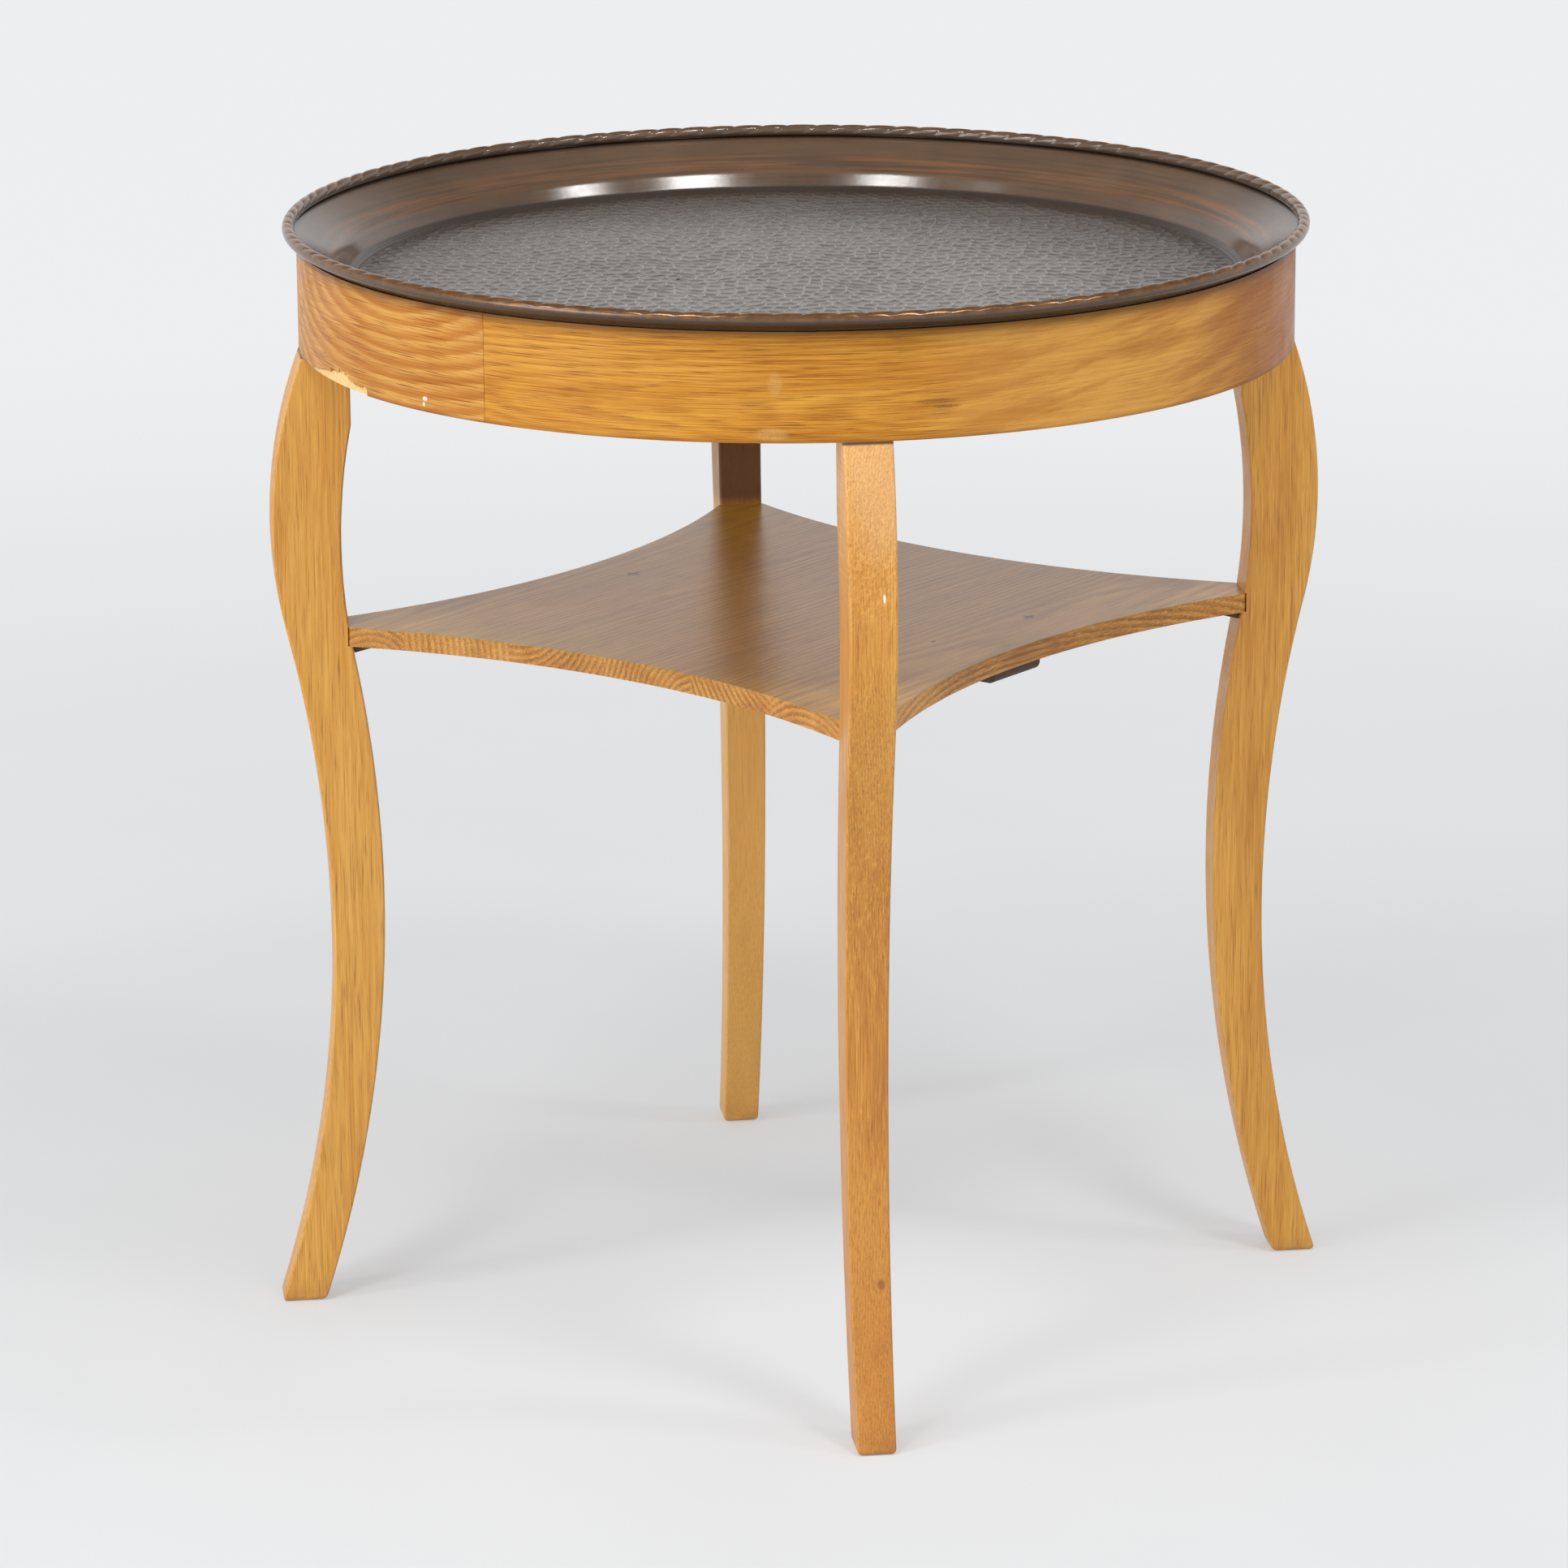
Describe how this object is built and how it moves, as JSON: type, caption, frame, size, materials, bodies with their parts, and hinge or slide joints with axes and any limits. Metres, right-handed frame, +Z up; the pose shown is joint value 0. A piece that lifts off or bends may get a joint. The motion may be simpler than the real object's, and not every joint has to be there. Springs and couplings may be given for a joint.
{
  "type": "smoking table",
  "caption": "Round smoking table with a loose hammered copper tray in a veneered oak hoop, carried on S-curved sawn legs with a square hollow-sided shelf below.",
  "frame": {"origin": "on the floor under the tray's axis", "axes": "+Z up along the tray's axis, -Y through the front leg, +X through the right leg"},
  "size_m": [0.635, 0.635, 0.6554],
  "materials": {
    "patinated_copper": "hammered, dark patina",
    "rim_wire_steel": "drawn wire",
    "hoop_core": "bare bent ply",
    "oak_veneer": "satin lacquer",
    "board_ply": "bare plywood",
    "leg_oak": "satin lacquer",
    "shelf_oak": "worn satin lacquer",
    "block_wood": "stained",
    "dowel_beech": "bare",
    "screw_steel": "plain"
  },
  "bodies": {
    "table": {"apron_core_inner": "hoop_core", "apron_core_outer": "hoop_core", "apron_veneer_1": "oak_veneer", "apron_veneer_2": "oak_veneer", "apron_veneer_3": "oak_veneer", "tray_board": "board_ply", "leg_front": "leg_oak", "leg_right": "leg_oak", "leg_back": "leg_oak", "leg_left": "leg_oak", "shelf_stave_1": "shelf_oak", "shelf_stave_2": "shelf_oak", "shelf_stave_3": "shelf_oak", "shelf_stave_4": "shelf_oak", "shelf_stave_5": "shelf_oak", "shelf_stave_6": "shelf_oak", "shelf_block_front": "block_wood", "shelf_block_right": "block_wood", "shelf_block_back": "block_wood", "shelf_block_left": "block_wood", "shelf_batten": "block_wood", "shelf_dowels": "dowel_beech", "apron_screws": "screw_steel", "board_screws": "screw_steel", "batten_screws": "screw_steel"},
    "tray": {"tray_pan": "patinated_copper", "tray_rim_wire": "rim_wire_steel"}
  },
  "joints": [
    {"name": "tray_lift", "type": "slide", "parent": "table", "child": "tray", "axis": [0, 0, 1], "range_m": [0, 0.15]}
  ]
}
